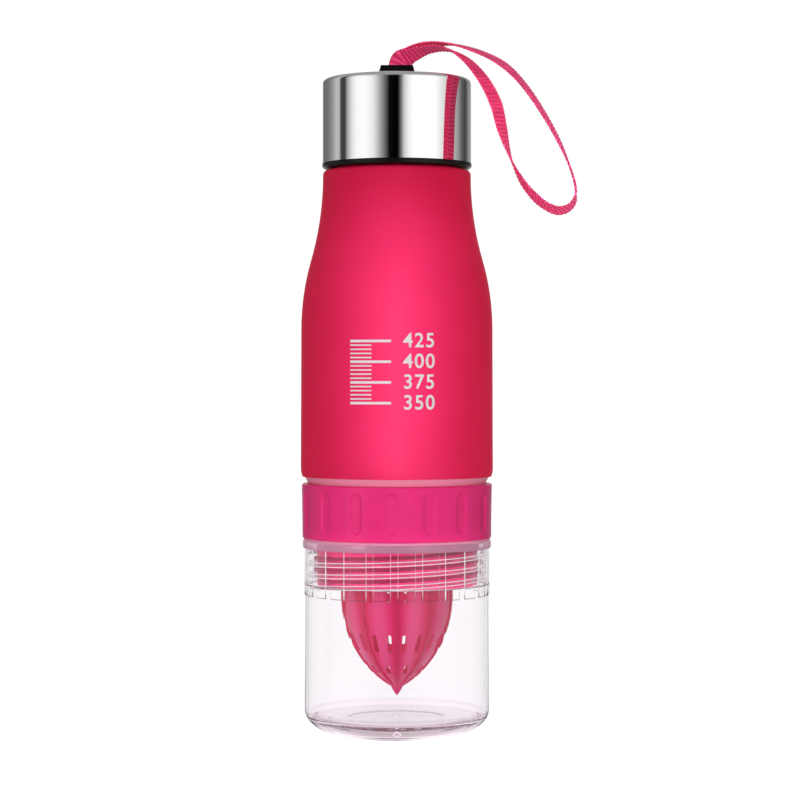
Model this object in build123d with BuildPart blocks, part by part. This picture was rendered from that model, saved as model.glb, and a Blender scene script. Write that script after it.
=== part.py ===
from build123d import *
import os
from itertools import accumulate
from math import acos, cos, degrees, radians, sin, tan

# Fruit infuser water bottle, in millimetres, +Z up. The origin is on the floor, in the middle of the
# cup's foot, and the front of the bottle looks along -Y. A clear cup screws on to the underside of a
# pink collar that carries a citrus reamer, the collar screws into the open bottom of the bottle body,
# and a steel cap with a wrist strap screws on to the body's neck. Each thread has its room here as a
# plain gap between the two walls that it joins.

# Heights that stack up from the floor
cup_height = 70.4
cup_seal_thickness = 0.8
grip_height = 19.8
body_seal_thickness = 2.5
body_height = 111.3
neck_height = 28.8
cap_seal_thickness = 1.6
liner_roof = 2.2
steel_thickness = 0.5

# Gaps between pieces that fit together
seat_clearance = 0.3
press_clearance = 0.05

# Cup: a plain clear tube on a rounded base, with grip panels and a bead under its rim
cup_inset = 1.4
cup_wall = 1.9
cup_floor = 6.4
cup_floor_corner = 1.5
cup_base_corner_width = 14.0
cup_base_corner_height = 8.7
foot_recess_depth = 0.6
foot_ring_width = 2.0
gate_radius = 2.0
gate_height = 1.6
panel_count = 24
panel_relief = 0.5
panel_gap = 2.6
panel_height = 16.9
panel_turn = 6.0
bead_height = 2.8
bead_relief = 0.75
bead_corner = 0.5
cup_thread_length = 16.2
cup_thread_relief = 0.5
cup_seal_inset = 0.4

# Collar: a grip ring with a threaded skirt below and another above
grip_proud = 1.05
grip_foot_proud = 0.8
grip_wall = 2.0
grip_top_corner = 0.8
grip_foot_corner = 0.6
collar_flange = 2.2
lower_thread_room = 2.4
lower_skirt_length = 17.2
upper_thread_room = 2.1
upper_skirt_length = 13.5
skirt_wall = 1.8
skirt_lead = 0.6
recess_count = 16
recess_width = 4.2
recess_height = 14.0
recess_depth = 0.6
recess_turn = -2.8

# Reamer: a hollow, ribbed and slotted ogive, point down under a strainer flange
reamer_flange = 2.0
reamer_ledge = 1.2
reamer_ledge_height = 1.6
strainer_width = 7.1
reamer_straight = 4.0
reamer_floor_gap = 7.1
bend_steps = 6
reamer_wall = 1.4
nib_radius = 2.6
nib_length = 4.2
nib_belly = 0.25
rib_count = 10
rib_width = 1.0
rib_relief = 0.45
rib_turn = -90.0
slot_start_radius = 5.0
side_slot_spread = 9.0
side_slot_width = 1.7
side_slot_height = 6.6
side_slot_share = 0.496
throat_slot_width = 1.2
throat_slot_height = 4.0
throat_slot_drop = 3.0
point_slot_width = 1.6
point_slot_height = 3.0
point_slot_share = 0.81
strainer_slot_count = 20
strainer_slot_width = 1.5
strainer_slot_length = 4.0

# Bottle body: straight sides that sweep in to a narrow shoulder, over an open threaded bottom
body_radius = 35.0
body_top_inset = 0.17
body_wall = 1.9
body_roll_height = 3.1
body_roll_inset = 0.6
waist_inset = 0.3
bulge_bend = 90.0
hollow_bend = 112.0
shoulder_corner = 1.8
shoulder_thickness = 2.2
neck_radius = 22.0
neck_wall = 2.0
neck_corner = 0.5
body_seal_inset = 1.3
body_seal_taper = 1.5

# Cap: a steel shell round a black threaded liner, whose lip shows below the steel
neck_thread_room = 2.4
liner_wall = 2.25
cap_gap = 0.5
cap_corner = 1.8
lip_height = 1.9
lip_corner = 1.2
cap_seal_width = 5.5

# Strap anchor: a black block on the cap, with a slot in its top and a bar across the slot
anchor_length = 14.4
anchor_top_length = 11.6
anchor_width = 9.0
anchor_height = 4.8
anchor_corner = 0.3
anchor_slot_length = 9.0
anchor_slot_width = 4.6
anchor_slot_depth = 4.0
anchor_slot_offset = 0.8
anchor_bar_radius = 0.8
anchor_bar_drop = 2.0
anchor_peg_radius = 1.4
anchor_peg_spacing = 9.0
anchor_peg_depth = 1.6

# Strap: flat woven tape from one side of the anchor's bar, round a loop and back to its other side.
# Each roll turns the tape's width, in degrees, away from square to the loop's own plane.
strap_width = 8.0
strap_thickness = 0.8
strap_steps_per_run = 3
strap_bend_share = 0.45
strap_square = (1.0, 2.0, 0.0)
strap_route = [
    (0.8, 1.6, 240.2), (0.8, 1.6, 244.6), (4.6, -1.2, 247.6), (11.0, -4.9, 250.1), (19.0, -8.9, 250.0),
    (28.0, -13.4, 247.0), (37.5, -18.1, 242.0), (45.0, -21.9, 234.0), (52.0, -25.4, 223.0),
    (57.5, -28.1, 212.5), (61.5, -30.1, 202.5), (63.5, -31.1, 194.5), (61.5, -30.1, 189.5),
    (56.0, -27.4, 188.0), (49.5, -24.1, 192.5), (44.0, -21.4, 199.5), (40.0, -19.4, 208.5),
    (37.5, -18.1, 218.0), (35.5, -17.1, 228.0), (30.5, -14.6, 237.5), (24.0, -11.4, 245.0),
    (17.0, -8.1, 248.6), (10.0, -4.9, 248.2), (4.8, -2.6, 246.2), (0.8, -1.6, 244.6), (0.8, -1.6, 240.2),
]
strap_rolls = [
    -63, -63, -20, -8, 1, 7, 7, -1, -6, -11, -21, -25, -2, 25, 33, 30, 17, -4, -12, -10, -3, 8, 12, 26,
    63, 63,
]

# How far a cut runs past the face that it leaves by
overrun = 1.0

# Levels worked out from the stack
collar_level = cup_height + cup_seal_thickness
grip_level = collar_level + grip_height
body_level = grip_level + body_seal_thickness
shoulder_level = body_level + body_height
neck_level = shoulder_level + neck_height
roof_level = neck_level + cap_seal_thickness
cap_level = roof_level + liner_roof + steel_thickness
lip_level = shoulder_level + cap_gap
steel_level = lip_level + lip_height
skirt_level = collar_level - lower_skirt_length
flange_level = skirt_level + reamer_flange
upper_skirt_level = grip_level + upper_skirt_length

# Radii shared by the pieces that meet there
body_bore = body_radius - body_wall
body_top_radius = body_radius - body_top_inset
cup_radius = body_radius - cup_inset
cup_bore = cup_radius - cup_wall
cup_thread_bore = cup_bore + cup_thread_relief
rim_radius = cup_radius + bead_relief
grip_radius = cup_radius + grip_proud
grip_foot_radius = cup_radius + grip_foot_proud
lower_skirt_radius = cup_bore - lower_thread_room
upper_skirt_radius = body_bore - upper_thread_room
upper_skirt_bore = upper_skirt_radius - skirt_wall
reamer_seat = lower_skirt_radius - skirt_wall
reamer_radius = reamer_seat - strainer_width
neck_bore = neck_radius - neck_wall
liner_bore = neck_radius + neck_thread_room
liner_radius = liner_bore + liner_wall
steel_bore = liner_radius + press_clearance
cap_radius = steel_bore + steel_thickness
waist_radius = cap_radius - waist_inset


def arc_turn(bend, inward):
    """The turn in degrees over which an arc of radius bend moves sideways by inward."""
    return degrees(acos(1 - inward / bend))


def bend_points(radius, level, bend, tip_radius):
    """Points down a bend that starts straight down at the given radius and ends at tip_radius."""
    whole_turn = radians(arc_turn(bend, radius - tip_radius))
    turns = [whole_turn * step / bend_steps for step in range(bend_steps + 1)]
    return [(radius - bend * (1 - cos(turn)), level - bend * sin(turn)) for turn in turns]


def ring_planes(radius, count, level, turn):
    """Upright planes that face outwards, evenly spaced round the axis."""
    spots = PolarLocations(radius, count, start_angle=turn).locations
    return [
        Plane((spot.position.X, spot.position.Y, level), x_dir=(0, 0, 1),
              z_dir=(spot.position.X, spot.position.Y, 0))
        for spot in spots
    ]


os.makedirs("parts", exist_ok=True)


# Cup
foot_radius = cup_radius - cup_base_corner_width
bead_level = cup_height - bead_height
panel_foot_level = bead_level - panel_height
with BuildPart() as cup:
    with BuildSketch(Plane.XZ):
        with BuildLine():
            foot = Line((0, 0), (foot_radius, 0))
            corner = EllipticalCenterArc(
                (foot_radius, cup_base_corner_height), cup_base_corner_width, cup_base_corner_height,
                start_angle=270, arc_size=90,
            )
            Polyline(
                corner @ 1, (cup_radius, bead_level), (rim_radius, bead_level), (rim_radius, cup_height),
                (0, cup_height), foot @ 0,
            )
        make_face()
    revolve(axis=Axis.Z)
    bead_edges = cup.edges().filter_by(GeomType.CIRCLE).filter_by(lambda edge: edge.radius == rim_radius)
    fillet(bead_edges, radius=bead_corner)
    with BuildSketch(Plane.XY.offset(panel_foot_level)):
        Circle(cup_radius + panel_relief)
        with PolarLocations(cup_radius, panel_count, start_angle=panel_turn + 180 / panel_count):
            Rectangle(cup_wall, panel_gap, mode=Mode.SUBTRACT)
        Circle(cup_radius - cup_wall / 2, mode=Mode.SUBTRACT)
    extrude(amount=panel_height)
    with BuildSketch(Plane.XZ):
        with BuildLine():
            floor = Line((0, cup_floor), (cup_bore - cup_floor_corner, cup_floor))
            floor_corner = JernArc(floor @ 1, (1, 0), cup_floor_corner, 90)
            ledge_level = cup_height - cup_thread_length
            Polyline(
                floor_corner @ 1, (cup_bore, ledge_level), (cup_thread_bore, ledge_level + cup_thread_relief),
                (cup_thread_bore, cup_height + overrun), (0, cup_height + overrun), floor @ 0,
            )
        make_face()
    revolve(axis=Axis.Z, mode=Mode.SUBTRACT)
    with BuildSketch():
        Circle(foot_radius - foot_ring_width)
    extrude(amount=foot_recess_depth, mode=Mode.SUBTRACT)
    with BuildSketch(Plane.XZ):
        Polygon((0, 0), (gate_radius, 0), (0, gate_height + foot_recess_depth), align=None)
    revolve(axis=Axis.Z, mode=Mode.SUBTRACT)
cup.part.label = "cup"
export_step(cup.part, "parts/cup.step")

# Cup seal: a flat washer on the cup's rim, held in place by the collar's lower skirt
with BuildPart() as cup_seal:
    with BuildSketch(Plane.XY.offset(cup_height)):
        Circle(rim_radius - cup_seal_inset)
        Circle(lower_skirt_radius + seat_clearance, mode=Mode.SUBTRACT)
    extrude(amount=cup_seal_thickness)
cup_seal.part.label = "cup_seal"
export_step(cup_seal.part, "parts/cup_seal.step")

# Collar: its section runs up the bore, down the outside and through the groove between grip and skirt
grip_bore = grip_foot_radius - grip_wall
with BuildPart() as collar:
    with BuildSketch(Plane.XZ):
        with BuildLine():
            bore = Polyline(
                (lower_skirt_radius - skirt_lead, skirt_level), (reamer_seat, skirt_level),
                (reamer_seat, flange_level), (reamer_seat - reamer_ledge, flange_level),
                (reamer_seat - reamer_ledge, flange_level + reamer_ledge_height),
                (reamer_seat, flange_level + reamer_ledge_height), (reamer_seat, grip_level),
                (upper_skirt_bore, grip_level), (upper_skirt_bore, upper_skirt_level),
                (upper_skirt_radius - skirt_lead, upper_skirt_level),
                (upper_skirt_radius, upper_skirt_level - skirt_lead), (upper_skirt_radius, grip_level),
                (grip_radius - grip_top_corner, grip_level),
            )
            top_corner = JernArc(bore @ 1, (1, 0), grip_top_corner, -90)
            side = Line(top_corner @ 1, (grip_foot_radius, collar_level + grip_foot_corner))
            foot_corner = JernArc(side @ 1, (0, -1), grip_foot_corner, -90)
            Polyline(
                foot_corner @ 1, (grip_bore, collar_level), (grip_bore, grip_level - collar_flange),
                (lower_skirt_radius, grip_level - collar_flange),
                (lower_skirt_radius, skirt_level + skirt_lead), bore @ 0,
            )
        make_face()
    revolve(axis=Axis.Z)
    recess_level = collar_level + grip_height / 2
    with BuildSketch(*ring_planes(grip_radius - recess_depth, recess_count, recess_level, recess_turn)):
        SlotOverall(recess_height, recess_width)
    extrude(amount=recess_depth + overrun, mode=Mode.SUBTRACT)
collar.part.label = "collar"
export_step(collar.part, "parts/collar.step")

# Reamer: the outline is one long bend from the flange to the nib, drawn again for the ribs and the hollow
bend_level = skirt_level - reamer_straight
bend_height = bend_level - cup_floor - reamer_floor_gap - nib_length
bend_inward = reamer_radius - nib_radius
reamer_bend = (bend_height ** 2 + bend_inward ** 2) / (2 * bend_inward)
ridge_radius = reamer_radius + rib_relief
hollow_radius = reamer_radius - reamer_wall
with BuildPart() as ribs:
    with BuildSketch(Plane.XZ):
        with BuildLine():
            ridge_side = Line((ridge_radius, skirt_level), (ridge_radius, bend_level))
            ridge = Spline(*bend_points(ridge_radius, bend_level, reamer_bend + rib_relief, nib_radius))
            Polyline(ridge @ 1, (0, (ridge @ 1).Y), (0, skirt_level), ridge_side @ 0)
        make_face()
    revolve(axis=Axis.Z)
    with BuildSketch():
        with PolarLocations(reamer_radius, rib_count, start_angle=rib_turn):
            Rectangle(2 * reamer_radius, rib_width)
    extrude(amount=skirt_level, mode=Mode.INTERSECT)

with BuildPart() as reamer:
    with BuildSketch(Plane.XZ):
        with BuildLine():
            rim_side = Polyline(
                (0, flange_level), (reamer_seat - press_clearance, flange_level),
                (reamer_seat - press_clearance, skirt_level), (reamer_radius, skirt_level),
                (reamer_radius, bend_level),
            )
            ogive = Spline(*bend_points(reamer_radius, bend_level, reamer_bend, nib_radius))
            nib_level = (ogive @ 1).Y
            nib = Bezier(
                ogive @ 1, (nib_radius / 2 + nib_belly, nib_level - nib_length / 2 - nib_belly),
                (0, nib_level - nib_length),
            )
            Line(nib @ 1, rim_side @ 0)
        make_face()
    revolve(axis=Axis.Z)
    add(ribs.part)
    with BuildSketch(Plane.XZ):
        with BuildLine():
            side_wall = Line((hollow_radius, flange_level + overrun), (hollow_radius, bend_level))
            hollow = Spline(*bend_points(hollow_radius, bend_level, reamer_bend - reamer_wall, 0))
            Polyline(hollow @ 1, (0, flange_level + overrun), side_wall @ 0)
        make_face()
    revolve(axis=Axis.Z, mode=Mode.SUBTRACT)
    flute_turn = rib_turn + 180 / rib_count
    side_slot_level = bend_level - bend_height * side_slot_share
    throat_slot_level = skirt_level - throat_slot_drop
    point_slot_level = bend_level - bend_height * point_slot_share
    for turn in (flute_turn - side_slot_spread, flute_turn + side_slot_spread):
        with BuildSketch(*ring_planes(slot_start_radius, rib_count, side_slot_level, turn)):
            SlotOverall(side_slot_height, side_slot_width)
        extrude(amount=reamer_radius, mode=Mode.SUBTRACT)
        with BuildSketch(*ring_planes(slot_start_radius, rib_count, throat_slot_level, turn)):
            Rectangle(throat_slot_height, throat_slot_width)
        extrude(amount=reamer_radius, mode=Mode.SUBTRACT)
    with BuildSketch(*ring_planes(slot_start_radius, rib_count, point_slot_level, flute_turn)):
        Rectangle(point_slot_height, point_slot_width)
    extrude(amount=reamer_radius, mode=Mode.SUBTRACT)
    with BuildSketch(Plane.XY.offset(skirt_level)):
        with PolarLocations((reamer_radius + reamer_seat) / 2, strainer_slot_count):
            Rectangle(strainer_slot_length, strainer_slot_width)
    extrude(amount=reamer_flange, mode=Mode.SUBTRACT)
reamer.part.label = "reamer"
export_step(reamer.part, "parts/reamer.step")

# Body seal: a soft ring between the collar's top and the body's bottom edge, drawn in at its foot
with BuildPart() as body_seal:
    with BuildSketch(Plane.XZ):
        seal_radius = body_radius - body_seal_inset
        Polygon(
            (upper_skirt_radius + seat_clearance, grip_level), (seal_radius - body_seal_taper, grip_level),
            (seal_radius, body_level), (upper_skirt_radius + seat_clearance, body_level), align=None,
        )
    revolve(axis=Axis.Z)
body_seal.part.label = "body_seal"
export_step(body_seal.part, "parts/body_seal.step")

# Bottle body: the side is a hollow bend under the shoulder, a bulging bend and a nearly straight wall
waist_level = shoulder_level - shoulder_corner
ceiling_level = shoulder_level - shoulder_thickness
side_turn = arc_turn(bulge_bend + hollow_bend, body_top_radius - waist_radius)
with BuildPart() as bottle_body:
    with BuildSketch(Plane.XZ):
        with BuildLine():
            neck = Polyline(
                (0, neck_level), (neck_radius, neck_level), (neck_radius, shoulder_level),
                (waist_radius - shoulder_corner, shoulder_level),
            )
            shoulder = JernArc(neck @ 1, (1, 0), shoulder_corner, -90)
            hollow_side = JernArc(shoulder @ 1, (0, -1), hollow_bend, side_turn)
            bulge_side = JernArc(hollow_side @ 1, hollow_side % 1, bulge_bend, -side_turn)
            straight = Line(bulge_side @ 1, (body_radius, body_level + body_roll_height))
            roll = TangentArc(
                straight @ 1, (body_radius - body_roll_inset, body_level), tangent=straight % 1
            )
            Polyline(roll @ 1, (0, body_level), neck @ 0)
        make_face()
    revolve(axis=Axis.Z)
    with BuildSketch(Plane.XZ):
        with BuildLine():
            ceiling = Polyline(
                (0, ceiling_level), (waist_radius - body_wall, ceiling_level),
                (waist_radius - body_wall, waist_level - shoulder_thickness),
            )
            hollow_wall = JernArc(ceiling @ 1, (0, -1), hollow_bend + body_wall, side_turn)
            bulge_wall = JernArc(hollow_wall @ 1, hollow_wall % 1, bulge_bend - body_wall, -side_turn)
            Polyline(
                bulge_wall @ 1, (body_bore, body_level + body_roll_height),
                (body_bore, body_level - overrun), (0, body_level - overrun), ceiling @ 0,
            )
        make_face()
    revolve(axis=Axis.Z, mode=Mode.SUBTRACT)
    with BuildSketch(Plane.XY.offset(ceiling_level)):
        Circle(neck_bore)
    extrude(amount=neck_level, mode=Mode.SUBTRACT)
    neck_edges = bottle_body.edges().filter_by(GeomType.CIRCLE).group_by(Axis.Z)[-1]
    fillet(neck_edges, radius=neck_corner)
bottle_body.part.label = "bottle_body"
export_step(bottle_body.part, "parts/bottle_body.step")

# Cap seal: a soft ring between the neck's rim and the liner's roof
with BuildPart() as cap_seal:
    with BuildSketch(Plane.XY.offset(neck_level)):
        Circle(liner_bore - seat_clearance)
        Circle(liner_bore - seat_clearance - cap_seal_width, mode=Mode.SUBTRACT)
    extrude(amount=cap_seal_thickness)
cap_seal.part.label = "cap_seal"
export_step(cap_seal.part, "parts/cap_seal.step")

# Cap liner: a black inner cap whose lip stands out to the steel's radius
liner_top = cap_level - steel_thickness
with BuildPart() as cap_liner:
    with BuildSketch(Plane.XZ):
        with BuildLine():
            roof = Line((0, liner_top), (liner_radius - cap_corner, liner_top))
            roof_corner = JernArc(roof @ 1, (1, 0), cap_corner, -90)
            lip = Polyline(
                roof_corner @ 1, (liner_radius, steel_level), (cap_radius, steel_level),
                (cap_radius, lip_level + lip_corner),
            )
            lip_foot = JernArc(lip @ 1, (0, -1), lip_corner, -90)
            Polyline(
                lip_foot @ 1, (liner_bore, lip_level), (liner_bore, roof_level), (0, roof_level), roof @ 0
            )
        make_face()
    revolve(axis=Axis.Z)
    with Locations((0, 0, liner_top)):
        with GridLocations(anchor_peg_spacing, 0, 2, 1):
            Hole(anchor_peg_radius + press_clearance, depth=anchor_peg_depth)
cap_liner.part.label = "cap_liner"
export_step(cap_liner.part, "parts/cap_liner.step")

# Cap shell: thin drawn steel over the liner, its edge resting on the liner's lip
with BuildPart() as cap_shell:
    with BuildSketch(Plane.XY.offset(steel_level)):
        Circle(cap_radius)
    extrude(amount=cap_level - steel_level)
    fillet(cap_shell.edges().group_by(Axis.Z)[-1], radius=cap_corner)
    offset(amount=-steel_thickness, openings=cap_shell.faces().sort_by(Axis.Z)[0])
    with Locations((0, 0, cap_level)):
        with GridLocations(anchor_peg_spacing, 0, 2, 1):
            Hole(anchor_peg_radius + press_clearance, depth=steel_thickness + overrun)
cap_shell.part.label = "cap_shell"
export_step(cap_shell.part, "parts/cap_shell.step")

# Strap anchor: sloped ends, two pegs down through the steel, and a bar that the strap goes round
anchor_top = cap_level + anchor_height
with BuildPart() as strap_anchor:
    with BuildSketch(Plane.XZ):
        Polygon(
            (-anchor_length / 2, cap_level), (anchor_length / 2, cap_level),
            (anchor_top_length / 2, anchor_top), (-anchor_top_length / 2, anchor_top), align=None,
        )
    extrude(amount=anchor_width / 2, both=True)
    fillet(strap_anchor.edges().filter_by(lambda edge: edge.center().Z > cap_level), radius=anchor_corner)
    with BuildSketch(Plane.XY.offset(anchor_top)):
        with Locations((anchor_slot_offset, 0)):
            Rectangle(anchor_slot_length, anchor_slot_width)
    extrude(amount=-anchor_slot_depth, mode=Mode.SUBTRACT)
    with BuildSketch(Plane.YZ.offset(anchor_slot_offset - anchor_slot_length / 2)):
        with Locations((0, anchor_top - anchor_bar_drop)):
            Circle(anchor_bar_radius)
    extrude(amount=anchor_slot_length)
    with BuildSketch(Plane.XY.offset(cap_level)):
        with GridLocations(anchor_peg_spacing, 0, 2, 1):
            Circle(anchor_peg_radius)
    extrude(amount=-(steel_thickness + anchor_peg_depth - press_clearance))
strap_anchor.part.label = "strap_anchor"
export_step(strap_anchor.part, "parts/strap_anchor.step")

# Strap: each bend is as large as its two runs allow, and the tape's width is turned by the rolls
points = [Vector(*point) for point in strap_route]
runs = [(after - before).length for before, after in zip(points, points[1:])]
bends = []
for before, point, after, run, next_run in zip(points, points[1:], points[2:], runs, runs[1:]):
    turn = (point - before).get_angle(after - point)
    bends.append(strap_bend_share * min(run, next_run) / tan(radians(turn / 2)))
print("strap bends:", [round(bend, 1) for bend in bends])
print("strap length:", round(sum(runs)))

marks = [0, *accumulate(runs)]
strap_path = FilletPolyline(*strap_route, radius=bends)
square = Vector(*strap_square).normalized()


def strap_plane(share):
    """The plane of the tape's section at this share of its length, with the width along its X."""
    mark = share * marks[-1]
    index = max(i for i in range(len(runs)) if marks[i] <= mark)
    blend = (mark - marks[index]) / runs[index]
    roll = strap_rolls[index] * (1 - blend) + strap_rolls[index + 1] * blend
    along = strap_path % share
    inside = along.cross(square)
    width = square * cos(radians(roll)) + inside * sin(radians(roll))
    return Plane(strap_path @ share, x_dir=width, z_dir=along)


strap_steps = strap_steps_per_run * len(runs)
with BuildPart() as strap:
    for step in range(strap_steps + 1):
        with BuildSketch(strap_plane(step / strap_steps)):
            Rectangle(strap_width, strap_thickness)
    loft(ruled=True)
strap.part.label = "strap"
export_step(strap.part, "parts/strap.step")
print("strap volume over its section times its length:",
      round(strap.part.volume / (strap_width * strap_thickness * strap_path.length), 3))
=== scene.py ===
from math import ceil, copysign, cos, pi, radians, sin

import bmesh
import bpy
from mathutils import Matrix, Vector


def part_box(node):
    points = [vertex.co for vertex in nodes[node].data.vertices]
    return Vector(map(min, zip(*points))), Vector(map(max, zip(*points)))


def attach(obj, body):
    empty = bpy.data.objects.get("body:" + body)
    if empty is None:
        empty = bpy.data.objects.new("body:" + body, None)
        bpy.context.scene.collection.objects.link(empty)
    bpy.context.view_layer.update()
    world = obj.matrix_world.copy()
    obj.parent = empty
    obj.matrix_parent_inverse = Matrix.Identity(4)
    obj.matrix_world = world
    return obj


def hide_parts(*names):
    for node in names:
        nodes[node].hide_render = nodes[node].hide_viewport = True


# The looks of a fruit infuser water bottle, in metres, +Z up, with the front looking along -Y. The
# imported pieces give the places. The cup, the collar and the strap are made again in finer form.
# Added here are the threads, the white level scale on the body, the finishes, the studio and the
# camera.

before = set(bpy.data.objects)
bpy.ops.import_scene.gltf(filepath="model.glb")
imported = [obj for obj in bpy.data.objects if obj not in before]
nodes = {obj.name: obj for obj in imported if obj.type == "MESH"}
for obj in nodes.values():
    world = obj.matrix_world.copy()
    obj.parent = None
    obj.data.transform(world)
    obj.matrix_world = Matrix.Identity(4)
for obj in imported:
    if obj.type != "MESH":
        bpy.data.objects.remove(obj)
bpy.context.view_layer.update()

mm = 0.001

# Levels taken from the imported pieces
cup_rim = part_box("cup")[1].z
collar_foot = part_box("cup_seal")[1].z
grip_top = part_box("body_seal")[0].z
neck_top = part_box("bottle_body")[1].z

# Radii of the walls that carry threads and print
body_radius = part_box("bottle_body")[1].x
body_wall = 1.9 * mm
body_bore = body_radius - body_wall
cup_thread_bore = 32.2 * mm
lower_skirt_radius = 29.3 * mm
upper_skirt_radius = 31.0 * mm
neck_radius = 22.0 * mm
liner_bore = 24.4 * mm


# Node building

class Output:
    """An output of a node, so that shader sums can be written as plain sums."""

    def __init__(self, finish, socket):
        self.finish = finish
        self.socket = socket

    def __add__(self, other):
        return self.finish.sum("ADD", self, other)

    def __sub__(self, other):
        return self.finish.sum("SUBTRACT", self, other)

    def __rsub__(self, other):
        return self.finish.sum("SUBTRACT", other, self)

    def __mul__(self, other):
        return self.finish.sum("MULTIPLY", self, other)

    def __pow__(self, other):
        return self.finish.sum("POWER", self, other)

    def also(self, name):
        """Another output of the same node."""
        return Output(self.finish, self.socket.node.outputs[name])

    __radd__ = __add__
    __rmul__ = __mul__


class Finish:
    """The node tree of a material, or of the studio's surround."""

    def __init__(self, owner):
        owner.use_nodes = True
        self.tree = owner.node_tree
        self.tree.nodes.clear()

    def node(self, kind, settings=(), inputs=(), output=0):
        """Adds a node, makes its settings first, fills its sockets, and returns one of its outputs."""
        made = self.tree.nodes.new(kind)
        for name, value in dict(settings).items():
            if name == "stops":
                set_stops(made.color_ramp, value)
            else:
                setattr(made, name, value)
        for name, value in dict(inputs).items():
            if isinstance(value, Output):
                self.tree.links.new(value.socket, made.inputs[name])
            else:
                made.inputs[name].default_value = value
        return Output(self, made.outputs[output]) if made.outputs else None

    def sum(self, operation, *terms):
        """A Math node on links or numbers."""
        return self.node("ShaderNodeMath", {"operation": operation}, enumerate(terms))

    def ramp(self, factor, stops):
        """A grey or coloured ramp over factor."""
        return self.node("ShaderNodeValToRGB", {"stops": stops}, {"Fac": factor})

    def tint(self, share, first, second):
        """The first colour where share is 0 and the second where it is 1."""
        return self.node("ShaderNodeMix", {"data_type": "RGBA"}, {0: share, 6: first, 7: second}, output=2)

    def mix(self, share, first, second):
        """The first shader where share is 0 and the second where it is 1."""
        return self.node("ShaderNodeMixShader", inputs={0: share, 1: first, 2: second})

    def parts(self, way):
        """The X of a place or a way. Its Y and Z are other outputs of the same node."""
        return self.node("ShaderNodeSeparateXYZ", inputs={0: way})

    def turn(self, way):
        """The turn of a place or a way round the bottle's axis, from the front towards +X, in radians."""
        parts = self.parts(way)
        return self.sum("ARCTAN2", parts, 0 - parts.also("Y"))

    def place(self):
        """The point on the piece in metres, which moves with the piece."""
        return self.node("ShaderNodeTexCoord", output="Object")

    def grain(self, size, detail=2.0, place=None):
        """Soft noise from 0 to 1 whose lumps are about size across."""
        return self.node(
            "ShaderNodeTexNoise", {"noise_dimensions": "3D"},
            {"Vector": place or self.place(), "Scale": 1 / size, "Detail": detail}, output="Fac",
        )

    def bump(self, height, depth):
        """A normal from a height of 0 to 1 that stands for depth metres."""
        return self.node("ShaderNodeBump", inputs={"Distance": depth, "Height": height}, output="Normal")

    def shade(self, **sockets):
        """A Principled shader. Socket names are written with underscores for spaces."""
        inputs = {name.replace("_", " "): value for name, value in sockets.items()}
        return self.node("ShaderNodeBsdfPrincipled", inputs=inputs)

    def finish_with(self, shader, kind="ShaderNodeOutputMaterial"):
        """Ends the tree with a shader."""
        self.node(kind, inputs={"Surface": shader})


def set_stops(color_ramp, stops):
    """Puts (position, colour) stops on a ramp. A colour that is one number is a grey."""
    while len(color_ramp.elements) < len(stops):
        color_ramp.elements.new(1.0)
    for element, (position, colour) in zip(color_ramp.elements, stops):
        element.position = position
        element.color = colour if isinstance(colour, tuple) else (colour, colour, colour, 1)


def linear(level):
    """A screen level of 0 to 255 as linear light."""
    share = level / 255
    return share / 12.92 if share <= 0.04045 else ((share + 0.055) / 1.055) ** 2.4


def paint(red, green, blue):
    """A colour given in screen levels."""
    return (linear(red), linear(green), linear(blue), 1)


def new_finish(name):
    """A new material and its node tree."""
    material = bpy.data.materials.new(name)
    return material, Finish(material)


# Finishes

def soft_touch_pink():
    """Matte rubbery paint over the body, with a fine even grain."""
    material, finish = new_finish("soft_touch_pink")
    cloud = finish.grain(18 * mm, detail=1.0)
    grain = finish.grain(0.22 * mm, detail=3.0)
    colour = finish.ramp(cloud, [(0.3, paint(238, 27, 70)), (0.7, paint(242, 29, 73))])
    finish.finish_with(finish.shade(
        Base_Color=colour, Roughness=0.5 + 0.06 * grain, IOR=1.46, Specular_IOR_Level=0.1,
        Specular_Tint=(1, 0.6, 0.85, 1), Normal=finish.bump(grain, 0.012 * mm),
    ))
    return material


def moulded_pink():
    """Injection-moulded pink plastic with faint flow marks."""
    material, finish = new_finish("moulded_pink")
    flow = finish.grain(7 * mm, detail=2.0)
    grain = finish.grain(0.35 * mm, detail=2.0)
    colour = finish.ramp(flow, [(0.25, paint(221, 39, 113)), (0.75, paint(228, 40, 116))])
    finish.finish_with(finish.shade(
        Base_Color=colour, Roughness=0.27 + 0.08 * flow, IOR=1.5, Specular_IOR_Level=0.22,
        Normal=finish.bump(grain, 0.006 * mm),
    ))
    return material


reamer_ribs = 10


def juicer_pink():
    """Glossy pink plastic, painted palest between the ribs and deepest along the ribs, as painted shade of
    the ribs' edges.
    """
    material, finish = new_finish("juicer_pink")
    flow = finish.grain(7 * mm, detail=2.0)
    grain = finish.grain(0.35 * mm, detail=2.0)
    # Painted shade: darker bands along the ten ribs, paler between them
    rib = finish.sum("COSINE", finish.turn(finish.place()) * reamer_ribs) * 0.5 + 0.5
    colour = finish.ramp(rib * 0.94 + flow * 0.06, [
        (0.1, paint(246, 72, 136)), (0.5, paint(242, 44, 120)),
        (0.85, paint(232, 10, 98)), (0.96, paint(220, 4, 88)),
    ])
    finish.finish_with(finish.shade(
        Base_Color=colour, Roughness=0.11 + 0.08 * flow, IOR=1.5, Specular_IOR_Level=0.16,
        Normal=finish.bump(grain, 0.006 * mm),
    ))
    return material


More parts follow.
